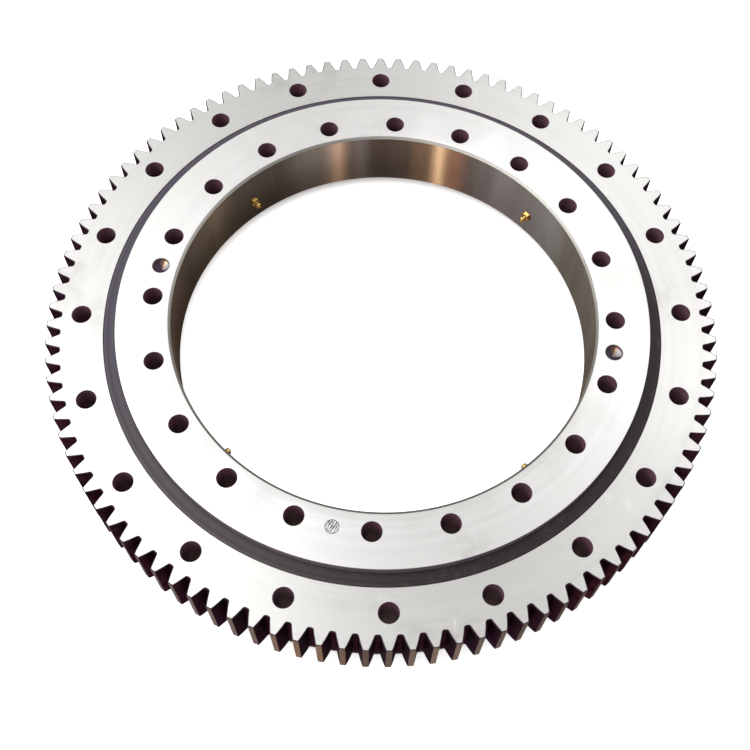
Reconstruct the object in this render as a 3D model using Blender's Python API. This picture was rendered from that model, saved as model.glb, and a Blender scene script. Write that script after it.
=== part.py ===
"""Slewing ring bearing: one row of balls between two rings, four-point contact, gear on the outer ring.

Frame: metres, +Z up along the rotation axis, origin at the centre of the outer ring's bottom face.
The outer ring stands on the ground. The inner ring turns about +Z and stands proud of it by STANDOFF.
"""

import math

import bmesh
import bpy
from mathutils import Matrix, Vector

MM = 0.001

# Rings
TOTAL_HEIGHT = 80 * MM
RING_HEIGHT = 70 * MM
STANDOFF = TOTAL_HEIGHT - RING_HEIGHT
BORE_RADIUS = 199 * MM
BORE_CHAMFER = 2 * MM
BODY_RADIUS = 301 * MM
INNER_RING_WALL = 249.5 * MM
OUTER_RING_WALL = 251 * MM
RING_STEPS = 60

# Bolt circles
BOLT_COUNT = 20
BOLT_HOLE_RADIUS = 9 * MM
OUTER_BOLT_CIRCLE = 283 * MM
INNER_BOLT_CIRCLE = 217 * MM
OUTER_BOLT_START = math.radians(94.93)
INNER_BOLT_START = math.radians(91.31)
BOLT_PITCH = math.tau / BOLT_COUNT
HOLE_SIDES = 12

# External gear, cut through the top GEAR_WIDTH of the outer ring
GEAR_WIDTH = 60 * MM
TEETH = 102
MODULE = 6 * MM
PRESSURE_ANGLE = math.radians(20)
PROFILE_SHIFT = 0.5
ADDENDUM = 0.9
DEDENDUM = 1.25
PITCH_RADIUS = MODULE * TEETH / 2
TIP_RADIUS = PITCH_RADIUS + (ADDENDUM + PROFILE_SHIFT) * MODULE
ROOT_RADIUS = PITCH_RADIUS - (DEDENDUM - PROFILE_SHIFT) * MODULE
BASE_RADIUS = PITCH_RADIUS * math.cos(PRESSURE_ANGLE)

# Balls and the gothic-arch raceways that they run in
BALL_COUNT = 44
BALL_RADIUS = 15 * MM
RACE_RADIUS = 250 * MM
RACE_HEIGHT = TOTAL_HEIGHT / 2
ARCH_RADIUS = 17.2 * MM
BALL_CLEARANCE = 1 * MM
ARCH_OFFSET = (ARCH_RADIUS - BALL_RADIUS - BALL_CLEARANCE) * math.cos(math.radians(45))
ARCH_STEPS = 4

# Strip cage, in four segments between the ring walls
CAGE_SEGMENTS = 4
CAGE_INSIDE = 249.85 * MM
CAGE_OUTSIDE = 250.35 * MM
CAGE_HEIGHT = 38 * MM
CAGE_STEPS = 22
CAGE_END_GAP = 1 * MM
WINDOW_RADIUS = 16.1 * MM
WINDOW_SIDES = 10

# Rubber seals, one sunk in each ring
SEAL_HEIGHT = 8 * MM
UPPER_SEAL_INSIDE = 250.2 * MM
UPPER_SEAL_OUTSIDE = 261.5 * MM
LOWER_SEAL_INSIDE = 238.5 * MM
LOWER_SEAL_OUTSIDE = 250.35 * MM

# Ball-filling plug and its taper pin
QUARTER_TURN = math.radians(90)
BETWEEN_BOLTS = INNER_BOLT_START + BOLT_PITCH / 2
PLUG_ANGLE = BETWEEN_BOLTS + math.radians(162)
PLUG_RADIUS = 17 * MM
PLUG_SIDES = 16
PIN_RADIUS = 6.2 * MM
PIN_TAPER = 1 / 50
PIN_LENGTH = 60 * MM

# Blind jacking holes, a quarter turn either side of the plug
JACK_HOLE_RADIUS = 7.8 * MM
JACK_HOLE_DEPTH = 4 * MM
JACK_CONE_DEPTH = 4.6 * MM

# Grease nipples in the bore
NIPPLE_COUNT = 4
NIPPLE_START = BETWEEN_BOLTS - 3 * BOLT_PITCH
NIPPLE_STEPS = 8
NIPPLE_THREAD = 4 * MM
NIPPLE_THREAD_LENGTH = 9 * MM
NIPPLE_HEX_RADIUS = 5.2 * MM
NIPPLE_HEX_HEIGHT = 4 * MM
NIPPLE_NECK = 2.4 * MM
NIPPLE_HEAD = 3.25 * MM
NIPPLE_HEIGHT = 10.3 * MM
GREASE_DRILLING = 2.5 * MM

CLEARANCE = 0.3 * MM
OVERCUT = 5 * MM


def clear_scene():
    for thing in list(bpy.data.objects):
        bpy.data.objects.remove(thing, do_unlink=True)


def material(name, colour, roughness, metallic):
    finish = bpy.data.materials.new(name)
    finish.use_nodes = True
    shader = finish.node_tree.nodes["Principled BSDF"]
    shader.inputs["Base Color"].default_value = (*colour, 1)
    shader.inputs["Roughness"].default_value = roughness
    shader.inputs["Metallic"].default_value = metallic
    finish.diffuse_color = (*colour, 1)
    return finish


def about_z(angle):
    return Matrix.Rotation(angle, 4, "Z")


def radial_axis(angle, radius, height):
    """Places a shape made along +Z so that its +Z points outwards, away from the bearing's axis."""
    return about_z(angle) @ Matrix.Translation((radius, 0, height)) @ Matrix.Rotation(QUARTER_TURN, 4, "Y")


def as_mesh(name, shape):
    bmesh.ops.recalc_face_normals(shape, faces=shape.faces)
    mesh = bpy.data.meshes.new(name)
    shape.to_mesh(mesh)
    shape.free()
    mesh.shade_smooth()
    mesh.set_sharp_from_angle(angle=math.radians(30))
    return mesh


def add_object(name, mesh, finish=None, parent=None):
    thing = bpy.data.objects.new(name, mesh)
    bpy.context.collection.objects.link(thing)
    thing.parent = parent
    if finish:
        mesh.materials.clear()
        mesh.materials.append(finish)
    return thing


def add_axis(name):
    return add_object(name, None)


def combine(thing, shape, operation, name):
    """Adds a Boolean of thing with a hidden tool made from shape."""
    tool = add_object(name, as_mesh(name, shape))
    tool.hide_render = True
    tool.display_type = "WIRE"
    step = thing.modifiers.new(name, "BOOLEAN")
    step.operation = operation
    step.solver = "EXACT"
    step.object = tool


def settled(thing):
    """The mesh that an object's modifiers leave, for copies to share; the object itself is removed."""
    graph = bpy.context.evaluated_depsgraph_get()
    mesh = bpy.data.meshes.new_from_object(thing.evaluated_get(graph))
    bpy.data.objects.remove(thing, do_unlink=True)
    return mesh


def turned(outline, steps, sweep=math.tau):
    """A shape turned about Z from (radius, height) points: a closed outline, or one that ends on the axis."""
    shape = bmesh.new()
    corners = [shape.verts.new((radius, 0, height)) for radius, height in outline]
    edges = [shape.edges.new(pair) for pair in zip(corners, corners[1:])]
    if outline[0][0] > 0:
        edges.append(shape.edges.new((corners[-1], corners[0])))
    whole = math.isclose(sweep, math.tau)
    if not whole:
        shape.faces.new(corners)
    made = bmesh.ops.spin(
        shape,
        geom=edges,
        cent=(0, 0, 0),
        axis=(0, 0, 1),
        angle=sweep,
        steps=steps,
        use_merge=whole,
    )
    if not whole:
        shape.faces.new([part for part in made["geom_last"] if isinstance(part, bmesh.types.BMVert)])
    bmesh.ops.remove_doubles(shape, verts=shape.verts, dist=1e-7)
    return shape


def prism(outline, low, high):
    """An outline of (x, y) points, extruded from height low to height high."""
    shape = bmesh.new()
    base = shape.faces.new([shape.verts.new((x, y, low)) for x, y in outline])
    made = bmesh.ops.extrude_face_region(shape, geom=[base])
    moved = [part for part in made["geom"] if isinstance(part, bmesh.types.BMVert)]
    bmesh.ops.translate(shape, verts=moved, vec=(0, 0, high - low))
    return shape


def add_rod(shape, radius, low, high, sides, place, tip_radius=None):
    """Adds a closed cylinder or cone from low to high along its own Z, then placed by a matrix."""
    bmesh.ops.create_cone(
        shape,
        cap_ends=True,
        segments=sides,
        radius1=radius,
        radius2=radius if tip_radius is None else tip_radius,
        depth=high - low,
        matrix=place @ Matrix.Translation((0, 0, (low + high) / 2)),
    )


def rod(radius, low, high, sides, place, tip_radius=None):
    shape = bmesh.new()
    add_rod(shape, radius, low, high, sides, place, tip_radius)
    return shape


def bolt_holes(circle, start):
    """Twenty through-hole cutters on one bolt circle."""
    shape = bmesh.new()
    for step in range(BOLT_COUNT):
        place = about_z(start + step * BOLT_PITCH) @ Matrix.Translation((circle, 0, 0))
        add_rod(shape, BOLT_HOLE_RADIUS, -OVERCUT, TOTAL_HEIGHT + OVERCUT, HOLE_SIDES, place)
    return shape


def involute(angle):
    return math.tan(angle) - angle


def tooth_half_angle(radius):
    """Half the angle that a tooth spans at a radius."""
    at_pitch = (math.pi / 2 + 2 * PROFILE_SHIFT * math.tan(PRESSURE_ANGLE)) / TEETH
    return at_pitch + involute(PRESSURE_ANGLE) - involute(math.acos(BASE_RADIUS / radius))


def gear_outline():
    """The tooth outline, with one tooth centred on the first outer bolt hole."""
    flank = (ROOT_RADIUS, (ROOT_RADIUS + TIP_RADIUS) / 2, TIP_RADIUS)
    outline = []
    for tooth in range(TEETH):
        centre = OUTER_BOLT_START + tooth * math.tau / TEETH
        for side, radii in ((-1, flank), (1, reversed(flank))):
            for radius in radii:
                angle = centre + side * tooth_half_angle(radius)
                outline.append((radius * math.cos(angle), radius * math.sin(angle)))
    return outline


def raceway(wall, side):
    """A gothic-arch groove's points, top to bottom: side is -1 on the inner ring and 1 on the outer."""
    centre = RACE_RADIUS - side * ARCH_OFFSET
    mouth = math.acos(side * (wall - centre) / ARCH_RADIUS)
    apex = math.asin(ARCH_OFFSET / ARCH_RADIUS)
    upper = []
    for step in range(ARCH_STEPS + 1):
        angle = mouth + (apex - mouth) * step / ARCH_STEPS
        across = centre + side * ARCH_RADIUS * math.cos(angle)
        upper.append((across, ARCH_RADIUS * math.sin(angle) - ARCH_OFFSET))
    lower = [(across, -rise) for across, rise in reversed(upper[:-1])]
    return [(across, RACE_HEIGHT + rise) for across, rise in upper + lower]


def outer_ring_hollow():
    """What the outer ring's inside is cut with: its wall, its raceway and the upper seal's recess."""
    recess = UPPER_SEAL_OUTSIDE + CLEARANCE
    shelf = RING_HEIGHT - SEAL_HEIGHT - CLEARANCE
    top = RING_HEIGHT + OVERCUT
    outline = [(0, top), (recess, top), (recess, shelf), (OUTER_RING_WALL, shelf)]
    outline += raceway(OUTER_RING_WALL, 1)
    outline += [(OUTER_RING_WALL, -OVERCUT), (0, -OVERCUT)]
    return turned(outline, RING_STEPS)


def make_outer_ring(finish):
    teeth = prism(gear_outline(), RING_HEIGHT - GEAR_WIDTH, RING_HEIGHT)
    ring = add_object("outer_ring", as_mesh("outer_ring", teeth), finish)
    plain_band = rod(BODY_RADIUS, 0, RACE_HEIGHT, RING_STEPS, Matrix())
    combine(ring, plain_band, "UNION", "plain_band")
    combine(ring, outer_ring_hollow(), "DIFFERENCE", "outer_ring_hollow")
    holes = bolt_holes(OUTER_BOLT_CIRCLE, OUTER_BOLT_START)
    combine(ring, holes, "DIFFERENCE", "outer_bolt_holes")


def inner_ring_blank():
    """The inner ring as turned: chamfered bore, raceway and the lower seal's recess."""
    chamfered = BORE_RADIUS + BORE_CHAMFER
    recess = LOWER_SEAL_INSIDE - CLEARANCE
    shelf = STANDOFF + SEAL_HEIGHT + CLEARANCE
    outline = [
        (chamfered, STANDOFF),
        (BORE_RADIUS, STANDOFF + BORE_CHAMFER),
        (BORE_RADIUS, TOTAL_HEIGHT - BORE_CHAMFER),
        (chamfered, TOTAL_HEIGHT),
        (INNER_RING_WALL, TOTAL_HEIGHT),
    ]
    outline += raceway(INNER_RING_WALL, -1)
    outline += [(INNER_RING_WALL, shelf), (recess, shelf), (recess, STANDOFF)]
    return turned(outline, RING_STEPS)


def pin_place():
    return about_z(PLUG_ANGLE) @ Matrix.Translation((INNER_BOLT_CIRCLE, 0, 0))


def pin_hole():
    low = TOTAL_HEIGHT - PIN_LENGTH - CLEARANCE
    return rod(PIN_RADIUS + CLEARANCE, low, TOTAL_HEIGHT + OVERCUT, HOLE_SIDES, pin_place())


def plug_shape(radius):
    reach = INNER_RING_WALL - BORE_RADIUS + 2 * OVERCUT
    place = radial_axis(PLUG_ANGLE, BORE_RADIUS - OVERCUT, RACE_HEIGHT)
    return rod(radius, 0, reach, PLUG_SIDES, place)


def jack_holes():
    """Two blind holes with drill-point bottoms, a quarter turn either side of the plug."""
    shape = bmesh.new()
    floor = TOTAL_HEIGHT - JACK_HOLE_DEPTH
    for side in (-1, 1):
        outline = [
            (0, TOTAL_HEIGHT + OVERCUT),
            (JACK_HOLE_RADIUS, TOTAL_HEIGHT + OVERCUT),
            (JACK_HOLE_RADIUS, floor),
            (0, floor - JACK_CONE_DEPTH),
        ]
        hole = turned(outline, HOLE_SIDES)
        place = about_z(PLUG_ANGLE + side * QUARTER_TURN)
        hole.transform(place @ Matrix.Translation((INNER_BOLT_CIRCLE, 0, 0)))
        one = as_mesh("jack_hole", hole)
        shape.from_mesh(one)
        bpy.data.meshes.remove(one)
    return shape


def grease_holes():
    """Stepped radial holes: the nipple's thread, then a fine drilling through to the raceway."""
    shape = bmesh.new()
    thread = NIPPLE_THREAD + CLEARANCE
    shoulder = NIPPLE_THREAD_LENGTH + 2 * CLEARANCE
    outline = [
        (0, -OVERCUT),
        (thread, -OVERCUT),
        (thread, shoulder),
        (GREASE_DRILLING, shoulder),
        (GREASE_DRILLING, RACE_RADIUS - BORE_RADIUS),
        (0, RACE_RADIUS - BORE_RADIUS),
    ]
    for step in range(NIPPLE_COUNT):
        hole = turned(outline, NIPPLE_STEPS)
        hole.transform(radial_axis(NIPPLE_START + step * QUARTER_TURN, BORE_RADIUS, RACE_HEIGHT))
        one = as_mesh("grease_hole", hole)
        shape.from_mesh(one)
        bpy.data.meshes.remove(one)
    return shape


def make_inner_ring(finish, axis):
    ring = add_object("inner_ring", as_mesh("inner_ring", inner_ring_blank()), finish, axis)
    holes = bolt_holes(INNER_BOLT_CIRCLE, INNER_BOLT_START)
    combine(ring, holes, "DIFFERENCE", "inner_bolt_holes")
    combine(ring, plug_shape(PLUG_RADIUS + CLEARANCE), "DIFFERENCE", "plug_hole")
    combine(ring, pin_hole(), "DIFFERENCE", "ring_pin_hole")
    combine(ring, jack_holes(), "DIFFERENCE", "jack_holes")
    combine(ring, grease_holes(), "DIFFERENCE", "grease_holes")


def make_filling_plug(finish, axis):
    """The plug that closes the ball-filling hole: its ends follow the bore and the raceway."""
    plug = add_object("filling_plug", as_mesh("filling_plug", plug_shape(PLUG_RADIUS)), finish, axis)
    combine(plug, inner_ring_blank(), "INTERSECT", "plug_ends")
    combine(plug, pin_hole(), "DIFFERENCE", "plug_pin_hole")


def make_taper_pin(finish, axis):
    low = TOTAL_HEIGHT - PIN_LENGTH
    thin = PIN_RADIUS - PIN_TAPER * PIN_LENGTH / 2
    pin = rod(thin, low, TOTAL_HEIGHT, HOLE_SIDES, pin_place(), tip_radius=PIN_RADIUS)
    add_object("taper_pin", as_mesh("taper_pin", pin), finish, axis)


def make_seal(name, inside, outside, low, finish, axis=None):
    high = low + SEAL_HEIGHT
    outline = [(inside, low), (outside, low), (outside, high), (inside, high)]
    add_object(name, as_mesh(name, turned(outline, RING_STEPS)), finish, axis)


def nipple_mesh():
    """A nipple along +Z, head first: the bore's wall is at 0 and the thread is on the positive side."""
    shape = turned(
        [
            (0, -NIPPLE_HEIGHT),
            (NIPPLE_NECK, -NIPPLE_HEIGHT),
            (NIPPLE_HEAD, -NIPPLE_HEIGHT + NIPPLE_NECK / 2),
            (NIPPLE_HEAD, -NIPPLE_HEIGHT + NIPPLE_NECK),
            (NIPPLE_NECK, -NIPPLE_HEIGHT + NIPPLE_HEAD),
            (NIPPLE_NECK, -NIPPLE_HEX_HEIGHT + CLEARANCE),
            (NIPPLE_THREAD, -NIPPLE_HEX_HEIGHT + CLEARANCE),
            (NIPPLE_THREAD, NIPPLE_THREAD_LENGTH),
            (0, NIPPLE_THREAD_LENGTH),
        ],
        NIPPLE_STEPS,
    )
    nipple = add_object("nipple_pattern", as_mesh("nipple_pattern", shape))
    hexagon = rod(NIPPLE_HEX_RADIUS, -NIPPLE_HEX_HEIGHT, -2 * CLEARANCE, 6, Matrix())
    combine(nipple, hexagon, "UNION", "nipple_hexagon")
    return settled(nipple)


def make_nipples(finish, axis):
    mesh = nipple_mesh()
    for step in range(NIPPLE_COUNT):
        nipple = add_object(f"grease_nipple_{step + 1}", mesh, finish, axis)
        nipple.matrix_local = radial_axis(NIPPLE_START + step * QUARTER_TURN, BORE_RADIUS, RACE_HEIGHT)


def cage_mesh():
    """One cage segment from angle 0: a strip with a round window for each of its balls."""
    span = math.tau / CAGE_SEGMENTS
    balls = BALL_COUNT // CAGE_SEGMENTS
    trim = CAGE_END_GAP / RACE_RADIUS
    low = RACE_HEIGHT - CAGE_HEIGHT / 2
    high = RACE_HEIGHT + CAGE_HEIGHT / 2
    outline = [(CAGE_INSIDE, low), (CAGE_OUTSIDE, low), (CAGE_OUTSIDE, high), (CAGE_INSIDE, high)]
    strip = add_object("cage_pattern", as_mesh("cage_pattern", turned(outline, CAGE_STEPS, span - trim)))
    windows = bmesh.new()
    for ball in range(balls):
        angle = (ball + 0.5) * span / balls - trim / 2
        place = radial_axis(angle, RACE_RADIUS, RACE_HEIGHT)
        add_rod(windows, WINDOW_RADIUS, -OVERCUT, OVERCUT, WINDOW_SIDES, place)
    combine(strip, windows, "DIFFERENCE", "cage_windows")
    return settled(strip)


def make_cage(finish, axis):
    mesh = cage_mesh()
    half_gap = CAGE_END_GAP / RACE_RADIUS / 2
    for step in range(CAGE_SEGMENTS):
        segment = add_object(f"cage_segment_{step + 1}", mesh, finish, axis)
        segment.rotation_euler.z = step * math.tau / CAGE_SEGMENTS + half_gap


def make_balls(finish, axis):
    sphere = bmesh.new()
    bmesh.ops.create_icosphere(sphere, subdivisions=2, radius=BALL_RADIUS)
    mesh = as_mesh("ball", sphere)
    for step in range(BALL_COUNT):
        angle = (step + 0.5) * math.tau / BALL_COUNT
        ball = add_object(f"ball_{step + 1:02d}", mesh, finish, axis)
        ball.location = about_z(angle) @ Vector((RACE_RADIUS, 0, RACE_HEIGHT))
        ball.rotation_euler.z = angle


def main():
    clear_scene()
    ring_steel = material("ring_steel", (0.74, 0.73, 0.71), 0.34, 1.0)
    bright_steel = material("bright_steel", (0.80, 0.80, 0.79), 0.28, 1.0)
    ball_steel = material("ball_steel", (0.86, 0.86, 0.87), 0.08, 1.0)
    rubber = material("seal_rubber", (0.075, 0.055, 0.055), 0.55, 0.0)
    brass = material("brass", (0.80, 0.55, 0.20), 0.25, 1.0)
    cage_plastic = material("cage_plastic", (0.82, 0.79, 0.70), 0.5, 0.0)

    inner_race = add_axis("inner_race_axis")
    ball_train = add_axis("ball_train_axis")

    make_outer_ring(ring_steel)
    upper_low = RING_HEIGHT - SEAL_HEIGHT
    make_seal("upper_seal", UPPER_SEAL_INSIDE, UPPER_SEAL_OUTSIDE, upper_low, rubber)

    make_inner_ring(ring_steel, inner_race)
    make_seal("lower_seal", LOWER_SEAL_INSIDE, LOWER_SEAL_OUTSIDE, STANDOFF, rubber, inner_race)
    make_filling_plug(bright_steel, inner_race)
    make_taper_pin(bright_steel, inner_race)
    make_nipples(brass, inner_race)

    make_cage(cage_plastic, ball_train)
    make_balls(ball_steel, ball_train)


main()
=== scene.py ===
"""The looks of a slewing ring bearing: one row of balls, external gear on the outer ring.

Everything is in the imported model's frame: +Z is the rotation axis, and the outer ring stands on z = 0.
Meshes are built in millimetres and scaled to metres when they are finished.
"""

import math

import bmesh
import bpy
from mathutils import Matrix, Vector


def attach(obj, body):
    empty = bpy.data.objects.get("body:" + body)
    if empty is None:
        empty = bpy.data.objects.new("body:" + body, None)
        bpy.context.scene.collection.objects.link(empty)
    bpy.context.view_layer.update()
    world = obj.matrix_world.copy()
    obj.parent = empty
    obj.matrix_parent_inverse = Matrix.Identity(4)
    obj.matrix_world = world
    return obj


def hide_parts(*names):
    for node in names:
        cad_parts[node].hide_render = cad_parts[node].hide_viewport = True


MM = 0.001
RING_TOP = 70
FACE_TOP = 80
STANDOFF = 10

# Turned sections of the two rings, in millimetres
BORE = 199
BORE_CHAMFER = 2
BORE_EDGE = 0.4
INNER_WALL = 249.5
OUTER_WALL = 251
BODY = 301
FOOT_CHAMFER = 1
EDGE = 0.25
TURN_STEPS = 360
SHARP = 30

# Recesses for the seals: the upper one in the outer ring, the lower one in the inner ring
UPPER_RECESS = 261.8
UPPER_SEAT = 61.7
LOWER_RECESS = 238.2
LOWER_SEAT = 18.3
SEAL_FIT = 0.3

# Bolt circles
BOLTS = 20
BOLT_PITCH = math.tau / BOLTS
HOLE = 9
HOLE_EDGE = 0.25
HOLE_STEPS = 48
OUTER_CIRCLE = 283
INNER_CIRCLE = 217
OUTER_START = math.radians(94.93)
INNER_START = math.radians(91.31)

# Gear
TEETH = 102
MODULE = 6
PRESSURE = math.radians(20)
SHIFT = 0.5
ADDENDUM = 0.9
DEDENDUM = 1.25
PITCH_RADIUS = MODULE * TEETH / 2
TIP = PITCH_RADIUS + (ADDENDUM + SHIFT) * MODULE
ROOT = PITCH_RADIUS - (DEDENDUM - SHIFT) * MODULE
OUTLINE_BEVEL = 0.8
BEVEL_DEPTH = 0.52
ROOT_FILLET = 1.1
GEAR_BOTTOM = 10

# Raceway
RACE = 250
RACE_HEIGHT = 40
ARCH = 17.2
ARCH_OFFSET = 1.2 * math.cos(math.radians(45))
ARCH_STEPS = 10
BALL = 15
BALLS = 44

# Plug, pin, jacking holes and grease nipples
QUARTER = math.radians(90)
BETWEEN = INNER_START + BOLT_PITCH / 2
PLUG_ANGLE = BETWEEN + math.radians(162)
PLUG = 17
PLUG_STEPS = 96
PIN = 6.0
PIN_FIT = 0.16
PIN_FLOOR = 20
JACK = 7.8
JACK_DEPTH = 4
JACK_CONE = 4.6
JACK_EDGE = 0.6
NIPPLE_START = BETWEEN - 3 * BOLT_PITCH
NIPPLES = 4
NIPPLE_STEPS = 24
FIT = 0.2

# The camera, its place in metres and its lens in millimetres
CAMERA_PLACE = (0.0214, -0.5276, 1.0207)
CAMERA_TILT = math.radians(28.85)
CAMERA_ROLL = math.radians(4.15)
CAMERA_LENS = 55.25
CAMERA_SHIFT = (-0.0423, -0.0751)

# How brightly the floor glows, and the radii, in metres, between which the glow is left out: a painted
# shadow under the rings
FLOOR_GLOW = 0.7
SHADE_INSIDE = (0.197, 0.214)
SHADE_OUTSIDE = (0.300, 0.302)


def about_z(angle):
    return Matrix.Rotation(angle, 4, "Z")


def radial_axis(angle, radius, height):
    """Places a shape that was made along +Z so that its +Z points away from the bearing's axis."""
    return about_z(angle) @ Matrix.Translation((radius, 0, height)) @ Matrix.Rotation(QUARTER, 4, "Y")


def add(name, data):
    thing = bpy.data.objects.new(name, data)
    bpy.context.scene.collection.objects.link(thing)
    return thing


# ---------------------------------------------------------------- meshes


class Shell:
    """A mesh built loop by loop in millimetres, with a finish for each group of faces."""

    def __init__(self, finishes):
        self.mesh = bmesh.new()
        self.finishes = finishes

    def loop(self, points):
        return [self.mesh.verts.new(point) for point in points]

    def circle(self, radius, height, steps=TURN_STEPS, centre=(0, 0)):
        points = []
        for step in range(steps):
            angle = math.tau * step / steps
            x = centre[0] + radius * math.cos(angle)
            y = centre[1] + radius * math.sin(angle)
            points.append((x, y, height))
        return self.loop(points)

    def face(self, corners, finish):
        seen = list(dict.fromkeys(corners))
        if len(seen) > 2:
            made = self.mesh.faces.new(seen)
            made.material_index = self.finishes.index(finish)
            made.smooth = True

    def strip(self, first, second, finish):
        """Joins two closed loops. finish is one name, or a function of the segment's number."""
        count = len(first)
        for here in range(count):
            after = (here + 1) % count
            name = finish(here) if callable(finish) else finish
            self.face([first[here], first[after], second[after], second[here]], name)

    def turned(self, outline):
        """Turns an open outline of (radius, height, finish). A finish covers the strip before its point."""
        loops = [self.circle(radius, height) for radius, height, _ in outline]
        for index in range(1, len(loops)):
            self.strip(loops[index - 1], loops[index], outline[index][2])
        return loops[0], loops[-1]

    def flat(self, loops, finish):
        """Fills the flat area between an outer loop and the loops inside it."""
        edges = []
        for loop in loops:
            for here, after in zip(loop, loop[1:] + loop[:1]):
                edge = self.mesh.edges.get((here, after))
                edges.append(edge or self.mesh.edges.new((here, after)))
        made = bmesh.ops.triangle_fill(self.mesh, edges=edges, use_beauty=True)
        for part in made["geom"]:
            if isinstance(part, bmesh.types.BMFace):
                part.material_index = self.finishes.index(finish)
                part.smooth = True

    def hole(self, centre, radius, top, bottom):
        """A through hole with broken edges; gives its loops in the top and the bottom face."""
        rims = []
        for height, inward in ((top, -1), (bottom, 1)):
            rim = self.circle(radius + HOLE_EDGE, height, HOLE_STEPS, centre)
            wall = self.circle(radius, height + inward * HOLE_EDGE, HOLE_STEPS, centre)
            self.strip(rim, wall, "rim")
            rims.append((rim, wall))
        self.strip(rims[0][1], rims[1][1], "hole")
        return rims[0][0], rims[1][0]

    def pit(self, centre, outline):
        """A blind hole from (radius, height, finish) points, the last one on its axis; gives its rim.

        The last finish may be a function of the angle round the hole.
        """
        loops = [self.circle(radius, height, HOLE_STEPS, centre) for radius, height, _ in outline[:-1]]
        for index in range(1, len(loops)):
            self.strip(loops[index - 1], loops[index], outline[index][2])
        tip = self.mesh.verts.new((centre[0], centre[1], outline[-1][1]))
        finish = outline[-1][2]
        for step in range(HOLE_STEPS):
            name = finish(math.tau * step / HOLE_STEPS) if callable(finish) else finish
            self.face([loops[-1][step], loops[-1][(step + 1) % HOLE_STEPS], tip], name)
        return loops[0]

    def settle(self, name, sharp=SHARP):
        bmesh.ops.recalc_face_normals(self.mesh, faces=self.mesh.faces)
        self.mesh.transform(Matrix.Scale(MM, 4))
        data = bpy.data.meshes.new(name)
        self.mesh.to_mesh(data)
        self.mesh.free()
        data.set_sharp_from_angle(angle=math.radians(sharp))
        for finish in self.finishes:
            data.materials.append(MATERIALS[finish])
        return add(name, data)


def polar(radius, angle, height):
    return (radius * math.cos(angle), radius * math.sin(angle), height)


def on_circle(circle, angle):
    return (circle * math.cos(angle), circle * math.sin(angle))


def half_tooth(radius):
    """Half the angle that a tooth spans at a radius, with the root's fillet."""
    base = PITCH_RADIUS * math.cos(PRESSURE)
    slope = math.acos(base / radius)
    angle = (math.pi / 2 + 2 * SHIFT * math.tan(PRESSURE)) / TEETH
    angle += math.tan(PRESSURE) - PRESSURE - math.tan(slope) + slope
    below = min(1, max(0, (ROOT + ROOT_FILLET - radius) / ROOT_FILLET))
    return angle + ROOT_FILLET * (1 - math.sqrt(1 - below * below)) / radius


def tooth_points():
    """One tooth, root to root, as (radius, angle from its centre, finish of the next segment)."""
    rise = [0, 0.05, 0.2, 0.5, 1]
    radii = [ROOT + ROOT_FILLET * share for share in rise]
    start = ROOT + ROOT_FILLET
    radii += [start + (TIP - start) * step / 7 for step in range(1, 8)]
    up = [(radius, -half_tooth(radius), "flank") for radius in radii]
    up[-1] = (TIP, -half_tooth(TIP), "tip")
    land = [(TIP, half_tooth(TIP) * (step / 2 - 1), "tip") for step in range(1, 4)]
    down = [(radius, half_tooth(radius), "flank") for radius in reversed(radii)]
    return up + land + down


def inset(points, width):
    """Moves a closed anticlockwise outline inwards by a width, with sharp corners."""
    moved = []
    for index, point in enumerate(points):
        before = (point - points[index - 1]).normalized()
        after = (points[(index + 1) % len(points)] - point).normalized()
        normal = Vector((-before.y - after.y, before.x + after.x)).normalized()
        across = max(0.5, normal.dot(Vector((-before.y, before.x))))
        moved.append(point + normal * width / across)
    return moved


def gear(shell):
    """The toothed rim, bevelled all round its outline; gives the loops of its top and bottom faces."""
    outline, finishes = [], []
    for tooth in range(TEETH):
        centre = OUTER_START + tooth * math.tau / TEETH
        for radius, angle, finish in tooth_points():
            outline.append(Vector(polar(radius, centre + angle, 0)[:2]))
            finishes.append(finish)
    inner = inset(outline, OUTLINE_BEVEL)
    rims = []
    for height, inward in ((RING_TOP, -1), (GEAR_BOTTOM, 1)):
        rim = shell.loop([(x, y, height) for x, y in inner])
        side = shell.loop([(x, y, height + inward * BEVEL_DEPTH) for x, y in outline])
        # The bevel round the tooth outline is painted near-black: a painted shade that draws a dark outline
        # round the teeth
        shell.strip(rim, side, "burr")
        rims.append((rim, side))
    shell.strip(rims[0][1], rims[1][1], lambda index: finishes[index])
    return rims[0][0], rims[1][0]


def raceway(wall, side):
    """A gothic-arch groove, top to bottom, as (radius, height, finish). side is -1 inside, 1 outside."""
    centre = RACE - side * ARCH_OFFSET
    mouth = math.acos(side * (wall - centre) / ARCH)
    apex = math.asin(ARCH_OFFSET / ARCH)
    upper = []
    for step in range(ARCH_STEPS + 1):
        angle = mouth + (apex - mouth) * step / ARCH_STEPS
        upper.append((centre + side * ARCH * math.cos(angle), ARCH * math.sin(angle) - ARCH_OFFSET))
    lower = [(across, -rise) for across, rise in reversed(upper[:-1])]
    return [(across, RACE_HEIGHT + rise, "race") for across, rise in upper + lower]


RING_FINISHES = ["outer_face", "inner_face", "rim", "wall", "hole", "race", "chamfer", "flank"]
RING_FINISHES += ["tip", "burr", "painted_copper_glint", "painted_pale_highlight", "oily", "painted_dark_shade", "standoff", "foot"]


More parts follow.
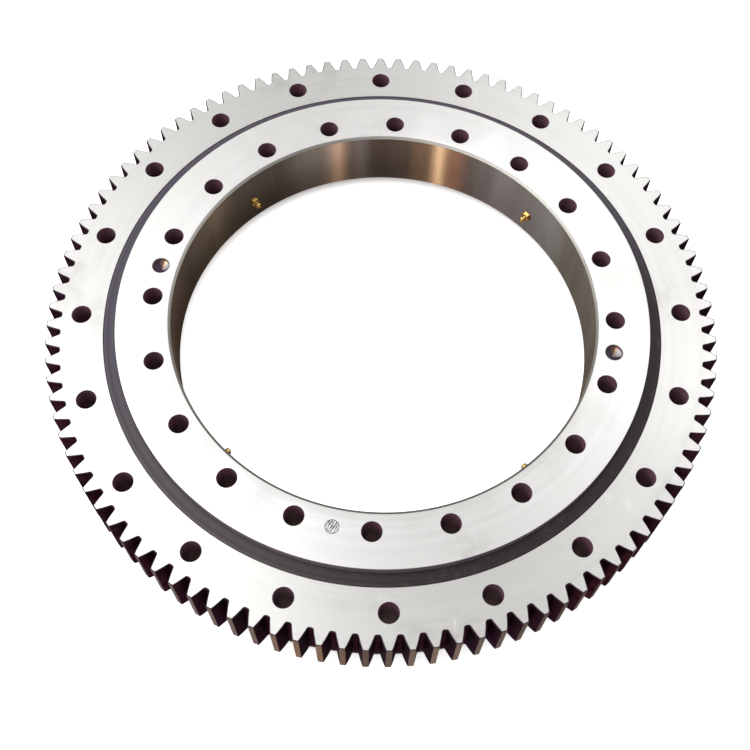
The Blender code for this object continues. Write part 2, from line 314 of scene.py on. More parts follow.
def make_outer_ring():
    shell = Shell(RING_FINISHES)
    gear_top, gear_bottom = gear(shell)
    outline = [
        (UPPER_RECESS + EDGE, RING_TOP, ""),
        (UPPER_RECESS, RING_TOP - EDGE, "rim"),
        (UPPER_RECESS, UPPER_SEAT, "wall"),
        (OUTER_WALL, UPPER_SEAT, "wall"),
    ]
    outline += raceway(OUTER_WALL, 1)
    outline += [(OUTER_WALL, FOOT_CHAMFER, "wall"), (OUTER_WALL + FOOT_CHAMFER, 0, "rim")]
    inside_top, inside_bottom = shell.turned(outline)
    foot = [(BODY, GEAR_BOTTOM, ""), (BODY, FOOT_CHAMFER, "foot"), (BODY - FOOT_CHAMFER, 0, "foot")]
    foot_top, foot_bottom = shell.turned(foot)
    tops, bottoms = [], []
    for step in range(BOLTS):
        centre = on_circle(OUTER_CIRCLE, OUTER_START + step * BOLT_PITCH)
        top, bottom = shell.hole(centre, HOLE, RING_TOP, 0)
        tops.append(top)
        bottoms.append(bottom)
    shell.flat([gear_top, inside_top] + tops, "outer_face")
    shell.flat([gear_bottom, foot_top], "outer_face")
    shell.flat([foot_bottom, inside_bottom] + bottoms, "outer_face")
    return shell.settle("outer_ring_turned")


def cone_painted_light(angle):
    """The finish of a drilled cone by angle: a painted pale highlight, a painted copper glint, a painted
    brown reflection, and painted dark shade on the rest.
    """
    for limit, finish in ((50, "painted_pale_highlight"), (72, "painted_copper_glint"), (110, "oily"), (338, "painted_dark_shade")):
        if math.degrees(angle) < limit:
            return finish
    return "painted_pale_highlight"


def make_inner_ring():
    shell = Shell(RING_FINISHES + ["bore"])
    bore = [
        (BORE + BORE_CHAMFER + BORE_EDGE, FACE_TOP, ""),
        (BORE + BORE_CHAMFER, FACE_TOP - BORE_EDGE / 2, "rim"),
        (BORE, FACE_TOP - BORE_CHAMFER, "chamfer"),
        (BORE, STANDOFF + BORE_CHAMFER, "bore"),
        (BORE + BORE_CHAMFER, STANDOFF, "chamfer"),
    ]
    bore_top, bore_bottom = shell.turned(bore)
    outline = [
        (INNER_WALL - EDGE, FACE_TOP, ""),
        (INNER_WALL, FACE_TOP - EDGE, "standoff"),
        (INNER_WALL, RING_TOP - 2, "standoff"),
    ]
    outline += raceway(INNER_WALL, -1)
    outline += [
        (INNER_WALL, LOWER_SEAT, "wall"),
        (LOWER_RECESS, LOWER_SEAT, "wall"),
        (LOWER_RECESS, STANDOFF + EDGE, "wall"),
        (LOWER_RECESS - EDGE, STANDOFF, "rim"),
    ]
    outside_top, outside_bottom = shell.turned(outline)
    tops, bottoms = [], []
    for step in range(BOLTS):
        centre = on_circle(INNER_CIRCLE, INNER_START + step * BOLT_PITCH)
        top, bottom = shell.hole(centre, HOLE, FACE_TOP, STANDOFF)
        tops.append(top)
        bottoms.append(bottom)
    seat = PIN + PIN_FIT
    pin = [
        (seat + PIN_FIT, FACE_TOP, ""),
        (seat, FACE_TOP - PIN_FIT, "rim"),
        (seat, PIN_FLOOR, "hole"),
        (0, PIN_FLOOR, "hole"),
    ]
    tops.append(shell.pit(on_circle(INNER_CIRCLE, PLUG_ANGLE), pin))
    floor = FACE_TOP - JACK_DEPTH
    jack = [
        (JACK + JACK_EDGE, FACE_TOP, ""),
        (JACK, FACE_TOP - JACK_EDGE, "chamfer"),
        (JACK, floor, "hole"),
        (0, floor - JACK_CONE, cone_painted_light),
    ]
    for side in (-1, 1):
        tops.append(shell.pit(on_circle(INNER_CIRCLE, PLUG_ANGLE + side * QUARTER), jack))
    shell.flat([outside_top, bore_top] + tops, "inner_face")
    shell.flat([outside_bottom, bore_bottom] + bottoms, "inner_face")
    ring = shell.settle("inner_ring_turned")
    cut(ring, radial_holes())
    return ring


def radial_holes():
    """Cutters for the filling plug's hole and the four nipples' tapped holes."""
    shell = Shell(["hole"])
    places = [(PLUG_ANGLE, [(PLUG + FIT, -3), (PLUG + FIT, 60)], PLUG_STEPS)]
    tapped = [(5, -3), (5, 0.4), (4.2, 0.9), (4.2, 9.6), (2, 9.6), (2, 51)]
    for step in range(NIPPLES):
        places.append((NIPPLE_START + step * QUARTER, tapped, 32))
    for angle, outline, steps in places:
        before = set(shell.mesh.verts)
        loops = [shell.circle(radius, height, steps) for radius, height in outline]
        for first, second in zip(loops, loops[1:]):
            shell.strip(first, second, "hole")
        for end in (loops[0], loops[-1]):
            shell.face(end, "hole")
        fresh = [vert for vert in shell.mesh.verts if vert not in before]
        bmesh.ops.transform(shell.mesh, matrix=radial_axis(angle, BORE, RACE_HEIGHT), verts=fresh)
    return shell.settle("radial_holes")


def cut(thing, tool):
    """Cuts the tool out of thing and keeps the result as thing's own mesh."""
    step = thing.modifiers.new("cut", "BOOLEAN")
    step.operation = "DIFFERENCE"
    step.solver = "EXACT"
    step.object = tool
    graph = bpy.context.evaluated_depsgraph_get()
    data = bpy.data.meshes.new_from_object(thing.evaluated_get(graph))
    thing.modifiers.clear()
    thing.data = data
    data.name = thing.name
    data.shade_smooth()
    data.set_sharp_from_angle(angle=math.radians(SHARP))
    bpy.data.objects.remove(tool, do_unlink=True)


def race_depth(height):
    """The inner ring's outside radius at a height above the ball row's centre."""
    reach = ARCH * ARCH - (abs(height) + ARCH_OFFSET) ** 2
    centre = RACE + ARCH_OFFSET
    return min(INNER_WALL, centre - math.sqrt(max(0.0, reach))) if reach > 0 else INNER_WALL


def make_plug():
    """The filling plug: one end is ground to the bore's curve and the other carries the raceway."""
    shell = Shell(["plug", "edge", "race"])
    near, far = [], []
    sunk, edge = 0.05, 0.35
    for share in (0.25, 0.5, 0.75, 0.9, 1):
        front, back = [], []
        for step in range(PLUG_STEPS):
            angle = math.tau * step / PLUG_STEPS
            u = PLUG * share * math.cos(angle)
            v = PLUG * share * math.sin(angle)
            reach = BORE + (edge if share == 1 else sunk)
            front.append((math.sqrt(reach ** 2 - u * u), u, v))
            back.append((math.sqrt(race_depth(v) ** 2 - u * u), u, v))
        near.append(shell.loop(front))
        far.append(shell.loop(back))
    for loops, middle, finish in ((near, BORE + sunk, "plug"), (far, race_depth(0), "race")):
        centre = shell.mesh.verts.new((middle, 0, 0))
        for here, after in zip(loops[0], loops[0][1:] + loops[0][:1]):
            shell.face([here, after, centre], finish)
        for first, second in zip(loops, loops[1:]):
            shell.strip(first, second, finish)
    shell.strip(near[-1], far[-1], "edge")
    plug = shell.settle("filling_plug_ground")
    place(plug, about_z(PLUG_ANGLE) @ Matrix.Translation((0, 0, RACE_HEIGHT * MM)))
    return plug


def place(thing, matrix):
    thing.data.transform(matrix)
    thing.data.update()


def make_pin():
    """The taper pin that locks the plug, filed flush with the ring's face."""
    shell = Shell(["filed", "pin"])
    centre = on_circle(INNER_CIRCLE, PLUG_ANGLE)
    thin = PIN - 0.6
    outline = [
        (thin - 1, PIN_FLOOR + 0.3),
        (thin, PIN_FLOOR + 1.3),
        (PIN, FACE_TOP - 0.35),
        (PIN - 0.35, FACE_TOP - 0.05),
    ]
    loops = [shell.circle(radius, height, HOLE_STEPS, centre) for radius, height in outline]
    for first, second in zip(loops, loops[1:]):
        shell.strip(first, second, "pin")
    shell.face(loops[0], "pin")
    inner = shell.circle(PIN * 0.5, FACE_TOP, HOLE_STEPS, centre)
    shell.strip(loops[-1], inner, "filed")
    shell.face(inner, "filed")
    return shell.settle("taper_pin_filed", sharp=20)


def make_seal(name, section):
    """A lip seal turned from a closed (radius, height) section."""
    shell = Shell(["rubber"])
    loops = [shell.circle(radius, height) for radius, height in section]
    for first, second in zip(loops, loops[1:] + loops[:1]):
        shell.strip(first, second, "rubber")
    return shell.settle(name, sharp=50)


def upper_seal_section():
    """Pressed into the outer ring's recess, with a dust lip that leans on the inner ring's wall."""
    outside = UPPER_RECESS - SEAL_FIT
    return [
        (outside, 62.2),
        (outside, 69.2),
        (261.0, 69.6),
        (258.4, 69.6),
        (257.7, 69.4),
        (256.6, 69.2),
        (255.4, 69.3),
        (253.2, 69.6),
        (251.0, 69.9),
        (249.8, 69.9),
        (249.7, 69.5),
        (249.9, 68.8),
        (252.4, 67.2),
        (253.2, 65.8),
        (253.2, 63.6),
        (252.6, 62.2),
    ]


def lower_seal_section():
    """The same seal upside down, pressed into the inner ring's recess from below."""
    both = LOWER_RECESS + UPPER_RECESS
    return [(both - radius, FACE_TOP - height) for radius, height in upper_seal_section()]


def make_nipple(number, mesh=None):
    """A ball-headed grease nipple along +Z, thread first, its hexagon on the bore's wall."""
    name = f"grease_nipple_{number}_turned"
    if mesh:
        return add(name, mesh)
    shell = Shell(["brass", "bore_of_nipple"])
    thread = [(3.1, 9.0), (3.9, 8.4), (3.9, 0.6), (3.2, 0.4), (3.2, -0.1)]
    loops = [shell.circle(radius, height, NIPPLE_STEPS) for radius, height in thread]
    half_flats, corners = 4.5, 5.2
    side = math.radians(60)
    for height, trim in ((-0.1, 0.3), (-0.5, 0), (-3.6, 0), (-4.0, 0.35)):
        points = []
        for step in range(NIPPLE_STEPS):
            angle = math.tau * step / NIPPLE_STEPS
            folded = (angle + side / 2) % side - side / 2
            radius = min(half_flats / math.cos(folded), corners - trim) - trim * 0.4
            points.append((radius * math.cos(angle), radius * math.sin(angle), height))
        loops.append(shell.loop(points))
    head = [
        (3.1, -4.15),
        (2.4, -4.6),
        (2.3, -5.6),
        (2.35, -6.3),
        (2.9, -6.9),
        (3.2, -7.7),
        (3.2, -8.5),
        (2.8, -9.3),
        (2.1, -9.9),
        (1.3, -10.2),
        (0.8, -10.25),
        (0.7, -9.6),
    ]
    loops += [shell.circle(radius, height, NIPPLE_STEPS) for radius, height in head]
    for first, second in zip(loops, loops[1:]):
        shell.strip(first, second, "brass")
    shell.face(loops[0], "brass")
    shell.face(loops[-1], "bore_of_nipple")
    return shell.settle(name, sharp=28)


def make_ball():
    sphere = bmesh.new()
    bmesh.ops.create_icosphere(sphere, subdivisions=4, radius=BALL * MM)
    data = bpy.data.meshes.new("ball_lapped")
    sphere.to_mesh(data)
    sphere.free()
    data.shade_smooth()
    data.materials.append(MATERIALS["ball"])
    return data


# ---------------------------------------------------------------- materials


class Nodes:
    """Adds nodes to a tree. A value is a number, a vector, a colour or another node's output."""

    def __init__(self, tree):
        self.tree = tree

    def put(self, socket, value):
        if isinstance(value, bpy.types.NodeSocket):
            self.tree.links.new(value, socket)
        else:
            socket.default_value = value

    def node(self, kind, **settings):
        made = self.tree.nodes.new(kind)
        for key, value in settings.items():
            setattr(made, key, value)
        return made

    def maths(self, operation, first, second=0.0, third=0.0):
        made = self.node("ShaderNodeMath", operation=operation)
        for socket, value in zip(made.inputs, (first, second, third)):
            self.put(socket, value)
        return made.outputs[0]

    def vector(self, operation, first, second=(0, 0, 0), output=0):
        made = self.node("ShaderNodeVectorMath", operation=operation)
        self.put(made.inputs[0], first)
        self.put(made.inputs[1], second)
        return made.outputs[output]

    def span(self, value, low, high, to_low=0.0, to_high=1.0, kind="SMOOTHSTEP"):
        made = self.node("ShaderNodeMapRange", interpolation_type=kind)
        ends = {"From Min": low, "From Max": high, "To Min": to_low, "To Max": to_high}
        for key, number in ends.items():
            made.inputs[key].default_value = number
        self.put(made.inputs["Value"], value)
        return made.outputs[0]

    def noise(self, vector, scale, detail=2.0, roughness=0.5, distortion=0.0):
        made = self.node("ShaderNodeTexNoise")
        self.put(made.inputs["Vector"], vector)
        made.inputs["Scale"].default_value = scale
        made.inputs["Detail"].default_value = detail
        made.inputs["Roughness"].default_value = roughness
        made.inputs["Distortion"].default_value = distortion
        return made.outputs["Fac"]

    def blend(self, share, first, second, mode="MIX"):
        made = self.node("ShaderNodeMix", data_type="RGBA", blend_type=mode)
        self.put(made.inputs["Factor"], share)
        sockets = [socket for socket in made.inputs if socket.type == "RGBA"]
        for socket, value in zip(sockets, (first, second)):
            self.put(socket, (*value, 1) if isinstance(value, tuple) else value)
        return [socket for socket in made.outputs if socket.type == "RGBA"][0]


class Finish(Nodes):
    """A Principled material in the making."""

    def __init__(self, name, colour, roughness, metallic=1.0, anisotropic=0.0):
        self.material = bpy.data.materials.new(name)
        self.material.use_nodes = True
        self.material.diffuse_color = (*colour, 1)
        super().__init__(self.material.node_tree)
        self.shader = self.tree.nodes["Principled BSDF"]
        self.set("Base Color", (*colour, 1))
        self.set("Roughness", roughness)
        self.set("Metallic", metallic)
        if anisotropic:
            self.set("Anisotropic", anisotropic)
        self.place = self.node("ShaderNodeTexCoord").outputs["Object"]
        self.height = None

    def set(self, socket, value):
        self.put(self.shader.inputs[socket], value)

    def bump(self, height, distance):
        """Adds a relief of that many metres on top of what the surface already has."""
        made = self.node("ShaderNodeBump")
        made.inputs["Strength"].default_value = 1.0
        made.inputs["Distance"].default_value = distance
        self.put(made.inputs["Height"], height)
        if self.height:
            self.put(made.inputs["Normal"], self.height)
        self.height = made.outputs[0]
        self.set("Normal", self.height)

    def around(self):
        """Sets the tangent across the turning marks, which run round the bearing's axis."""
        flat = self.vector("MULTIPLY", self.place, (1, 1, 0))
        along = self.vector("NORMALIZE", self.vector("CROSS_PRODUCT", (0, 0, 1), flat))
        turn = self.node("ShaderNodeVectorTransform", vector_type="VECTOR")
        turn.convert_from = "OBJECT"
        turn.convert_to = "WORLD"
        self.put(turn.inputs[0], along)
        geometry = self.node("ShaderNodeNewGeometry")
        across = self.vector("CROSS_PRODUCT", geometry.outputs["Normal"], turn.outputs[0])
        self.set("Tangent", self.vector("NORMALIZE", across))

    def lay(self, stretch):
        """Coordinates in millimetres that change across the turning marks, and only slowly along them."""
        flat = self.vector("MULTIPLY", self.place, (1, 1, 0))
        radius = self.maths("MULTIPLY", self.vector("LENGTH", flat, output=1), 1000)
        parts = self.node("ShaderNodeSeparateXYZ")
        self.put(parts.inputs[0], self.place)
        angle = self.maths("ARCTAN2", parts.outputs["Y"], parts.outputs["X"])
        made = self.node("ShaderNodeCombineXYZ")
        self.put(made.inputs["X"], radius)
        self.put(made.inputs["Y"], self.maths("MULTIPLY", parts.outputs["Z"], 1000))
        self.put(made.inputs["Z"], self.maths("MULTIPLY", angle, stretch))
        return made.outputs[0]

    def scratches(self, turn, stretch, scale, width):
        """Thin lines that run one way, each for a short length."""
        mapping = self.node("ShaderNodeMapping")
        mapping.inputs["Rotation"].default_value = (0, 0, turn)
        mapping.inputs["Scale"].default_value = (1, stretch, 1)
        self.put(mapping.inputs["Vector"], self.place)
        line = self.noise(mapping.outputs[0], scale, 0.0)
        near = self.maths("ABSOLUTE", self.maths("SUBTRACT", line, 0.5))
        mask = self.span(self.noise(self.place, 34, 1.0), 0.66, 0.74)
        return self.maths("MULTIPLY", self.span(near, 0.0, width, 1.0, 0.0), mask)


def turned_steel(name, colour, roughness, anisotropic, marks=1.0, oil_and_painted_shade=False):
    """Bright steel off the lathe: concentric marks, faint stains and a few scratches."""
    finish = Finish(name, colour, roughness, anisotropic=anisotropic)
    finish.around()
    lay = finish.lay(stretch=3.0)
    fine = finish.noise(lay, 1.6, 3.0, 0.6)
    bands = finish.noise(lay, 0.22, 2.0)
    cloud = finish.noise(finish.place, 9, 4.0, 0.6, 0.4)
    grime = finish.noise(finish.place, 42, 5.0, 0.65)
    shade = finish.blend(finish.span(bands, 0.3, 0.7), tuple(c * 0.95 for c in colour), colour)
    patch = finish.maths("MULTIPLY", finish.span(cloud, 0.52, 0.75), finish.span(grime, 0.4, 0.62))
    shade = finish.blend(finish.maths("MULTIPLY", patch, 0.25), shade, (0.62, 0.56, 0.5), "MULTIPLY")
    # In the bore: brown oil runs, painted shade towards the bottom and painted light towards the top
    if oil_and_painted_shade:
        shade = oil_runs_and_painted_shade(finish, shade)
    line = finish.scratches(0.7, 0.03, 260, 0.012)
    other = finish.scratches(-1.1, 0.03, 300, 0.010)
    lines = finish.maths("MAXIMUM", line, other)
    bare = finish.maths("MULTIPLY", lines, 0.35)
    finish.set("Base Color", finish.blend(bare, shade, (0.97, 0.96, 0.95)))
    rough = finish.maths("MULTIPLY_ADD", finish.maths("SUBTRACT", fine, 0.5), 0.12, roughness)
    rough = finish.maths("MULTIPLY_ADD", patch, 0.06, rough)
    finish.set("Roughness", rough)
    finish.bump(fine, 0.000012 * marks)
    finish.bump(bands, 0.00003 * marks)
    finish.bump(lines, -0.00004)
    return finish.material


def oil_runs_and_painted_shade(finish, shade):
    """Brown preserving oil in upright bands, with painted shade that darkens the bore towards the bottom on
    one side and painted light that brightens it towards the top.
    """
    parts = finish.node("ShaderNodeSeparateXYZ")
    finish.put(parts.inputs[0], finish.place)
    run = finish.noise(finish.vector("MULTIPLY", finish.place, (1, 1, 0.12)), 34, 3.0, 0.6)
    # Painted shade: darker towards the bottom, most on the left side of the bore
    low = finish.span(parts.outputs["Z"], 0.015, 0.078, 1.0, 0.0)
    side = finish.span(parts.outputs["X"], -0.10, 0.08, 1.0, 0.15)
    shade = finish.blend(finish.span(run, 0.35, 0.65, 0.0, 0.45), shade, (0.62, 0.58, 0.54), "MULTIPLY")
    shade = finish.blend(finish.maths("MULTIPLY", low, side), shade, (0.50, 0.46, 0.42), "MULTIPLY")
    # Painted light: lighter towards the top of the bore
    return finish.blend(finish.maths("SUBTRACT", 1.0, low), shade, (1.22, 1.22, 1.22), "MULTIPLY")


def plain_steel(name, colour, roughness, scale=60, depth=0.00003, mottled=0.25, metallic=1.0, edge=None):
    """Steel without a lay: mottled, with a fine uneven surface. edge tints it where it is seen aslant."""
    finish = Finish(name, colour, roughness, metallic)
    if edge:
        finish.set("Specular Tint", (*edge, 1))
    broad = finish.noise(finish.place, scale, 4.0, 0.6)
    fine = finish.noise(finish.place, scale * 14, 3.0, 0.6)
    share = finish.maths("MULTIPLY", finish.span(broad, 0.35, 0.7), mottled)
    finish.set("Base Color", finish.blend(share, colour, tuple(c * 0.6 for c in colour)))
    finish.set("Roughness", finish.span(fine, 0.3, 0.7, roughness - 0.06, roughness + 0.08))
    finish.bump(fine, depth)
    return finish.material


def gear_flank():
    """Hobbed and hardened tooth sides, left brown and oily, with the cutter's feed marks across them."""
    colour = (0.15, 0.09, 0.125)
    finish = Finish("flank", colour, 0.42)
    finish.set("Specular Tint", (0.30, 0.26, 0.32, 1))
    parts = finish.node("ShaderNodeSeparateXYZ")
    finish.put(parts.inputs[0], finish.place)
    feed = finish.maths("SINE", finish.maths("MULTIPLY", parts.outputs["Z"], math.tau / 0.0022))
    broad = finish.noise(finish.place, 70, 4.0, 0.65)
    fine = finish.noise(finish.place, 900, 3.0, 0.6)
    oily = finish.span(broad, 0.38, 0.66)
    shade = finish.blend(oily, colour, (0.09, 0.048, 0.072))
    finish.set("Base Color", shade)
    finish.set("Roughness", finish.span(fine, 0.3, 0.7, 0.34, 0.5))
    finish.bump(fine, 0.00003)
    finish.bump(feed, 0.000012)
    return finish.material


def filed_steel():
    """The pin's end: uneven file strokes, mostly one way, worn away in places."""
    colour = (0.80, 0.79, 0.80)
    finish = Finish("filed", colour, 0.40)
    strokes = []
    for turn, pitch, wander in ((0.46, 0.0021, 5.0), (0.10, 0.0031, 7.0)):
        direction = (math.cos(turn), -math.sin(turn), 0)
        along = finish.vector("DOT_PRODUCT", finish.place, direction, output=1)
        wobble = finish.maths("MULTIPLY", finish.noise(finish.place, 420, 2.0), wander)
        phase = finish.maths("MULTIPLY_ADD", along, math.tau / pitch, wobble)
        strokes.append(finish.span(finish.maths("SINE", phase), -0.2, 0.7))
    lines = finish.maths("MAXIMUM", strokes[0], finish.maths("MULTIPLY", strokes[1], 0.6))
    worn = finish.span(finish.noise(finish.place, 240, 2.0), 0.36, 0.58, 0.45, 1.0)
    lines = finish.maths("MULTIPLY", lines, worn)
    finish.set("Base Color", finish.blend(lines, colour, (0.06, 0.045, 0.075)))
    finish.set("Roughness", finish.span(lines, 0, 1, 0.32, 0.5))
    finish.bump(lines, -0.0002)
    return finish.material


def rubber():
    """Black nitrile, moulding lines along it, with painted light that makes the left side paler, a painted
    violet reflection towards the back and left, and a little dust.
    """
    colour = (0.024, 0.015, 0.018)
    finish = Finish("rubber", colour, 0.42, metallic=0.0)
    finish.set("Specular IOR Level", 0.25)
    parts = finish.node("ShaderNodeSeparateXYZ")
    finish.put(parts.inputs[0], finish.place)
    mould = finish.noise(finish.lay(stretch=6.0), 2.4, 2.0)
    skin = finish.noise(finish.place, 1500, 2.0)
    dust = finish.noise(finish.place, 55, 5.0, 0.7)
    # Painted light: paler on the left side, where the light falls
    painted_light_left = finish.span(parts.outputs["X"], -0.20, 0.09, 1.0, 0.0)
    shade = finish.blend(painted_light_left, colour, (0.085, 0.068, 0.070))
    # Painted reflection: violet towards the back and left
    painted_reflection_slant = finish.maths("MULTIPLY_ADD", parts.outputs["X"], -0.45, parts.outputs["Y"])
    shade = finish.blend(finish.span(painted_reflection_slant, -0.12, 0.08), shade, (0.078, 0.069, 0.090))
    share = finish.maths("MULTIPLY", finish.span(dust, 0.5, 0.75), 0.35)
    finish.set("Base Color", finish.blend(share, shade, (0.10, 0.085, 0.08)))
    finish.set("Roughness", finish.span(dust, 0.35, 0.7, 0.38, 0.55))
    finish.bump(mould, 0.00004)
    finish.bump(skin, 0.00001)
    return finish.material


def brass():
    colour = (0.87, 0.58, 0.20)
    finish = Finish("brass", colour, 0.22)
    tarnish = finish.noise(finish.place, 380, 4.0, 0.6)
    marks = finish.noise(finish.place, 2600, 2.0)
    share = finish.maths("MULTIPLY", finish.span(tarnish, 0.45, 0.7), 0.55)
    finish.set("Base Color", finish.blend(share, colour, (0.55, 0.31, 0.09)))
    finish.set("Roughness", finish.span(tarnish, 0.3, 0.7, 0.16, 0.34))
    finish.bump(marks, 0.00001)
    return finish.material


def cage_plastic():
    colour = (0.78, 0.74, 0.62)
    finish = Finish("cage", colour, 0.45, metallic=0.0)
    flow = finish.noise(finish.place, 30, 3.0)
    grain = finish.noise(finish.place, 1200, 2.0)
    finish.set("Base Color", finish.blend(finish.span(flow, 0.4, 0.7), colour, (0.70, 0.65, 0.52)))
    finish.set("Roughness", finish.span(grain, 0.3, 0.7, 0.4, 0.55))
    finish.bump(grain, 0.00002)
    return finish.material


def make_materials():
    return {
        "outer_face": turned_steel("outer_face", (0.80, 0.795, 0.78), 0.34, 0.93),
        "inner_face": turned_steel("inner_face", (0.90, 0.895, 0.885), 0.33, 0.90),
        # The bore carries painted shade towards the bottom and painted light towards the top
        "bore": turned_steel("bore", (0.62, 0.60, 0.57), 0.20, 0.93, marks=0.7, oil_and_painted_shade=True),
        "wall": turned_steel("wall", (0.74, 0.71, 0.69), 0.36, 0.6),
        "chamfer": turned_steel("chamfer", (0.38, 0.37, 0.335), 0.42, 0.2),
        "edge": plain_steel("edge", (0.55, 0.53, 0.52), 0.32),
        "rim": plain_steel("rim", (0.24, 0.18, 0.22), 0.40),
        # Painted shade: a dark outline along the teeth's bevel
        "burr": plain_steel("burr", (0.07, 0.05, 0.06), 0.5, edge=(0.3, 0.22, 0.26)),
        "foot": plain_steel("foot", (0.14, 0.09, 0.095), 0.5, mottled=0.5, edge=(0.4, 0.3, 0.3)),
        "standoff": plain_steel("standoff", (0.22, 0.18, 0.225), 0.45, metallic=0.3),
        "hole": plain_steel(
            "hole", (0.22, 0.11, 0.145), 0.5, scale=90, mottled=0.6, metallic=0.12, edge=(0.3, 0.2, 0.3)
        ),
        # The jack holes' cone sectors: painted highlight, painted glint, painted brown reflection and
        # painted shade
        "painted_copper_glint": plain_steel("painted_copper_glint", (0.40, 0.24, 0.15), 0.24, scale=120),
        "painted_pale_highlight": plain_steel("painted_pale_highlight", (0.27, 0.25, 0.265), 0.36, scale=120),
        "oily": plain_steel("oily", (0.13, 0.075, 0.055), 0.34, scale=120, metallic=0.8),
        "painted_dark_shade": plain_steel("painted_dark_shade", (0.055, 0.03, 0.06), 0.45, scale=120, metallic=0.5),
        "race": plain_steel("race", (0.72, 0.71, 0.70), 0.18),
        "plug": plain_steel("plug", (0.80, 0.78, 0.76), 0.34),
        "pin": plain_steel("pin", (0.62, 0.60, 0.59), 0.36),
        "flank": gear_flank(),
        "tip": plain_steel("tip", (0.46, 0.37, 0.32), 0.36, scale=80, mottled=0.5),
        "filed": filed_steel(),
        "rubber": rubber(),
        "brass": brass(),
        "bore_of_nipple": plain_steel("bore_of_nipple", (0.12, 0.08, 0.05), 0.5),
        "ball": plain_steel("ball", (0.86, 0.86, 0.87), 0.07, scale=40, depth=0.000002, mottled=0.1),
        "cage": cage_plastic(),
    }


# ---------------------------------------------------------------- studio


def make_camera():
    camera = add("camera", bpy.data.cameras.new("camera"))
    camera.data.sensor_width = 36
    camera.data.lens = CAMERA_LENS
    camera.data.shift_x, camera.data.shift_y = CAMERA_SHIFT
    camera.data.clip_start = 0.05
    camera.data.clip_end = 100
    tilt = Matrix.Rotation(CAMERA_TILT, 4, "X") @ Matrix.Rotation(CAMERA_ROLL, 4, "Z")
    camera.matrix_world = Matrix.Translation(CAMERA_PLACE) @ tilt
    bpy.context.scene.camera = camera


def make_floor():
    shape = bmesh.new()
    bmesh.ops.create_grid(shape, x_segments=1, y_segments=1, size=30)
    data = bpy.data.meshes.new("floor")
    shape.to_mesh(data)
    shape.free()
    floor = add("floor", data)
    floor.location.z = -0.0003
    finish = Finish("floor", (0.9, 0.9, 0.9), 1.0, metallic=0.0)
    finish.set("Specular IOR Level", 0.0)
    finish.set("Emission Color", (1, 1, 1, 1))
    finish.set("Emission Strength", glow_outside_rings(finish))
    data.materials.append(finish.material)
    floor.visible_glossy = False
    floor.visible_diffuse = False
    floor.visible_shadow = False


def glow_outside_rings(finish):
    """The floor gives no light of its own under the two rings, a painted shadow, so it stays dark in the
    bolt holes.
    """
    away = finish.vector("LENGTH", finish.place, output=1)
    inside = finish.span(away, *SHADE_INSIDE, FLOOR_GLOW, 0.0, kind="LINEAR")
    outside = finish.span(away, *SHADE_OUTSIDE, 0.0, FLOOR_GLOW, kind="LINEAR")
    return finish.maths("ADD", inside, outside)


class Surround(Nodes):
    """The light that comes from each direction."""

    def __init__(self, tree):
        super().__init__(tree)
        self.direction = self.node("ShaderNodeTexCoord").outputs["Generated"]

    def lobe(self, azimuth, elevation, wide):
        """1 towards a direction in degrees, falling to 0 at an angle from it."""
        a, e = math.radians(azimuth), math.radians(elevation)
        aim = (math.cos(a) * math.cos(e), math.sin(a) * math.cos(e), math.sin(e))
        near = self.vector("DOT_PRODUCT", self.direction, aim, output=1)
        return self.span(near, math.cos(math.radians(wide)), 1)

    def column(self, azimuth, wide):
        """1 in the upright plane of an azimuth in degrees, falling to 0 at an angle from it."""
        a = math.radians(azimuth)
        flat = self.vector("NORMALIZE", self.vector("MULTIPLY", self.direction, (1, 1, 0)))
        near = self.vector("DOT_PRODUCT", flat, (math.cos(a), math.sin(a), 0), output=1)
        return self.span(near, math.cos(math.radians(wide)), 1)

    def scaled(self, colour, share):
        made = self.node("ShaderNodeVectorMath", operation="SCALE")
        self.put(made.inputs[0], colour)
        self.put(made.inputs["Scale"], share)
        return made.outputs[0]

    def total(self, start, parts):
        """A colour with the (share, colour) parts added to it."""
        whole = start
        for share, colour in parts:
            whole = self.vector("ADD", whole, self.scaled(colour, share))
        return whole


# Softboxes, which fade out low down, as (azimuth, elevation, width, colour), with angles in degrees
SKY = (0.325, 0.32, 0.31)
SOFTBOXES = [
    (-160, 42, 45, (1.6, 1.6, 1.6)),
    (165, 42, 45, (0.65, 0.65, 0.65)),
    (-160, 44, 75, (0.95, 0.95, 0.96)),
    (22, 42, 45, (0.64, 0.64, 0.64)),
    (50, 42, 45, (0.40, 0.40, 0.41)),
    (105, 45, 35, (0.34, 0.34, 0.33)),
]

# Upright bands of light, which the bore and the teeth mirror, as (azimuth, width, colour)
GROUND = (0.075, 0.045, 0.030)
BANDS = [
    (-61, 3, (0.95, 0.58, 0.38)),
    (-60, 8, (0.20, 0.15, 0.12)),
    (-48, 13, (0.15, 0.145, 0.14)),
    (-72, 6, (0.11, 0.11, 0.12)),
    (-102, 5, (0.14, 0.07, 0.03)),
    (-113, 5, (0.50, 0.21, 0.04)),
    (-113, 1.8, (2.0, 1.55, 1.05)),
    (-122, 5, (0.30, 0.10, 0.04)),
    (13, 4, (0.30, 0.20, 0.10)),
    (179, 8, (0.17, 0.18, 0.22)),
    (-150, 7, (0.16, 0.15, 0.18)),
    (150, 60, (0.11, 0.115, 0.105)),
    (-150, 30, (0.11, 0.11, 0.12)),
    (0, 60, (0.01, 0.02, 0.025)),
]


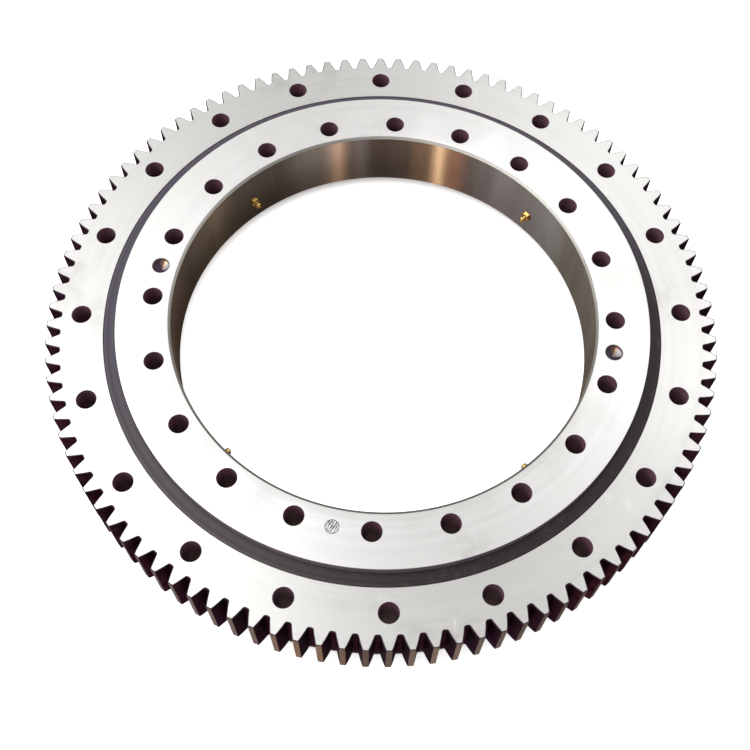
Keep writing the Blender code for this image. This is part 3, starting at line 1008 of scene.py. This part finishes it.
def make_world():
    """A pale sky, brighter to the left and right, over a brown surround with warm glints in front."""
    world = bpy.data.worlds.new("studio")
    bpy.context.scene.world = world
    world.use_nodes = True
    world.node_tree.nodes.clear()
    light = Surround(world.node_tree)
    rise = light.vector("DOT_PRODUCT", light.direction, (0, 0, 1), output=1)
    boxes = light.total((0, 0, 0), [
        (light.lobe(azimuth, elevation, wide), colour)
        for azimuth, elevation, wide, colour in SOFTBOXES
    ])
    sky = light.vector("ADD", SKY, light.scaled(boxes, light.span(rise, 0.36, 0.62)))
    ground = light.total(GROUND, [(light.column(azimuth, wide), colour) for azimuth, wide, colour in BANDS])
    ground = light.total(ground, [(light.lobe(-90, -80, 35), (0.10, 0.095, 0.10))])
    colour = light.blend(light.span(rise, -0.08, 0.12), ground, sky)
    seen = light.node("ShaderNodeLightPath").outputs["Is Camera Ray"]
    background = light.node("ShaderNodeBackground")
    light.put(background.inputs["Color"], light.blend(seen, colour, (1.0, 1.0, 1.0)))
    output = light.node("ShaderNodeOutputWorld")
    light.put(output.inputs["Surface"], background.outputs[0])


def make_light(name, place_at, size, power):
    lamp = bpy.data.lights.new(name, "AREA")
    lamp.shape = "DISK"
    lamp.size = size
    lamp.energy = power
    thing = add(name, lamp)
    thing.location = place_at
    thing.rotation_mode = "QUATERNION"
    middle = Vector((0, 0, 0.05))
    thing.rotation_quaternion = (middle - thing.location).to_track_quat("-Z", "Y")
    thing.visible_camera = False


# ---------------------------------------------------------------- the bearing


def dress(thing, body, slot, *nodes):
    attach(thing, body)
    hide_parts(*nodes)


def build(frame):
    dress(make_outer_ring(), "outer_race", "ring_steel", "outer_ring")
    dress(make_inner_ring(), "inner_race", "ring_steel", "inner_ring")
    upper = make_seal("upper_seal_moulded", upper_seal_section())
    dress(upper, "outer_race", "seal_rubber", "upper_seal")
    lower = make_seal("lower_seal_moulded", lower_seal_section())
    dress(lower, "inner_race", "seal_rubber", "lower_seal")
    dress(make_plug(), "inner_race", "bright_steel", "filling_plug")
    dress(make_pin(), "inner_race", "bright_steel", "taper_pin")
    mesh = None
    for number in range(1, NIPPLES + 1):
        nipple = make_nipple(number, mesh)
        mesh = nipple.data
        place_nipple = radial_axis(NIPPLE_START + (number - 1) * QUARTER, BORE * MM, RACE_HEIGHT * MM)
        nipple.matrix_world = place_nipple
        nipple.visible_glossy = False
        dress(nipple, "inner_race", "brass", f"grease_nipple_{number}")
    ball = make_ball()
    for number in range(1, BALLS + 1):
        thing = add(f"ball_{number:02d}_lapped", ball)
        angle = (number - 0.5) * math.tau / BALLS
        thing.location = about_z(angle) @ Vector((RACE * MM, 0, RACE_HEIGHT * MM))
        dress(thing, "ball_train", "ball_steel", f"ball_{number:02d}")
    for name, node in frame["nodes"].items():
        if name.startswith("cage_segment"):
            for slot in node.material_slots:
                slot.material = MATERIALS["cage"]


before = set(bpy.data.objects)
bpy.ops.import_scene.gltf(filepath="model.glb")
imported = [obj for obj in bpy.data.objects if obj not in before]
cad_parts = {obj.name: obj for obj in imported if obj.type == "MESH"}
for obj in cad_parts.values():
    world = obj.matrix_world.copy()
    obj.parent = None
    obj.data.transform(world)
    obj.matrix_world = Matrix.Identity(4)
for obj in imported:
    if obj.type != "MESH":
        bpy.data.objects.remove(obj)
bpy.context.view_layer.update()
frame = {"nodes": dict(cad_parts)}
bpy.context.scene.view_settings.view_transform = "Standard"
MATERIALS = make_materials()
build(frame)
make_camera()
make_floor()
make_world()
make_light("left_softbox", (-1.7, -0.5, 1.4), 1.1, 3)
make_light("right_softbox", (1.6, 0.7, 1.4), 1.0, 2)
